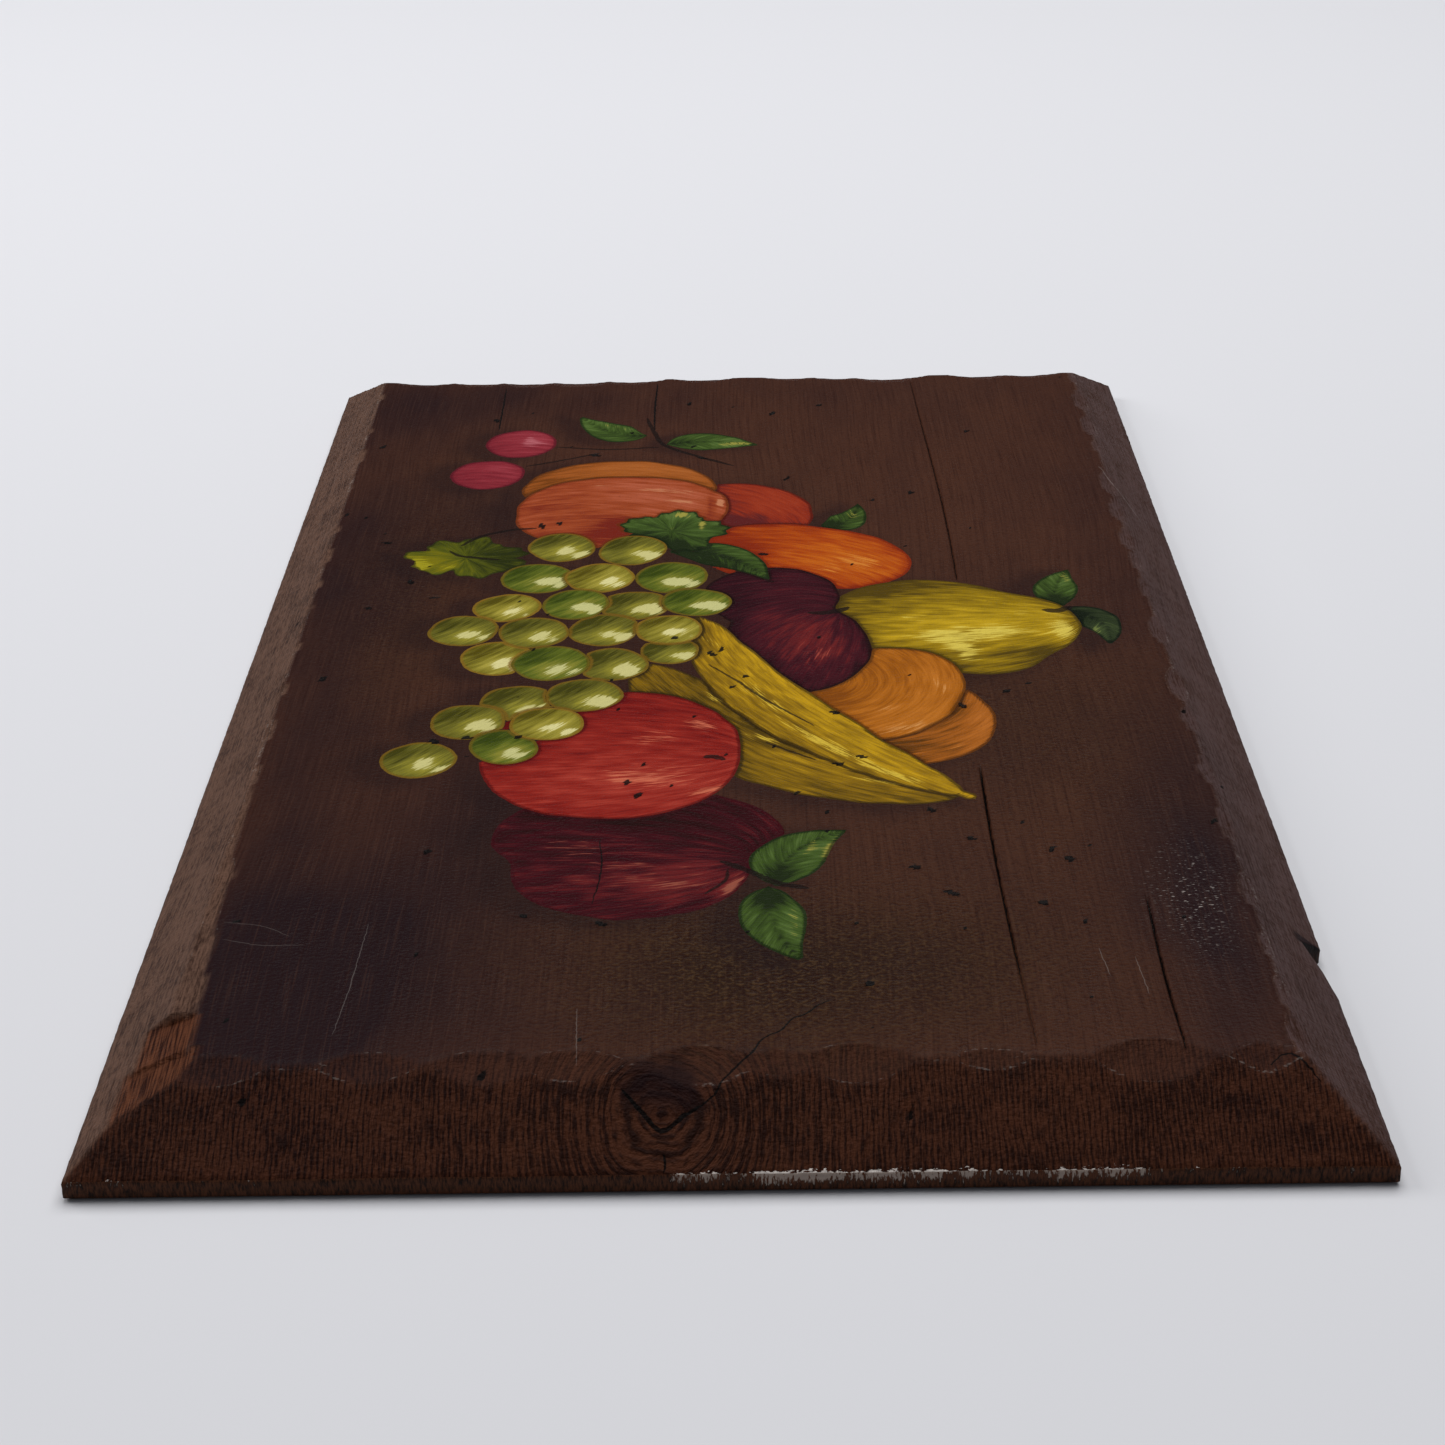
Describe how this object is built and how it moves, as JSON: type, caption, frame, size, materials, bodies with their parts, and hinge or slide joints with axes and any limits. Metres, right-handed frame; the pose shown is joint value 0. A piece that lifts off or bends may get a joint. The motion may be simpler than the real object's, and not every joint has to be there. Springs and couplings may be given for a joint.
{
  "type": "painted wood panel",
  "caption": "Rectangular wood wall plaque with bevelled sides, a gouge-scalloped crest and a painted fruit still life on dark stained pine; hangs flat on a wall or lies on its back",
  "frame": {"origin": "middle of the flat back face, where it lies against a wall or a table", "axes": "+Z out of the painted face, +Y along the grain and the long side, +X across the grain; +X is up when it hangs, landscape"},
  "size_m": [0.292, 0.49, 0.019],
  "materials": {
    "stained_pine": "pine, dark brown stain, hand-painted fruit in oil colours, satin varnish"
  },
  "bodies": {
    "root": {"board": "stained_pine"}
  },
  "joints": []
}
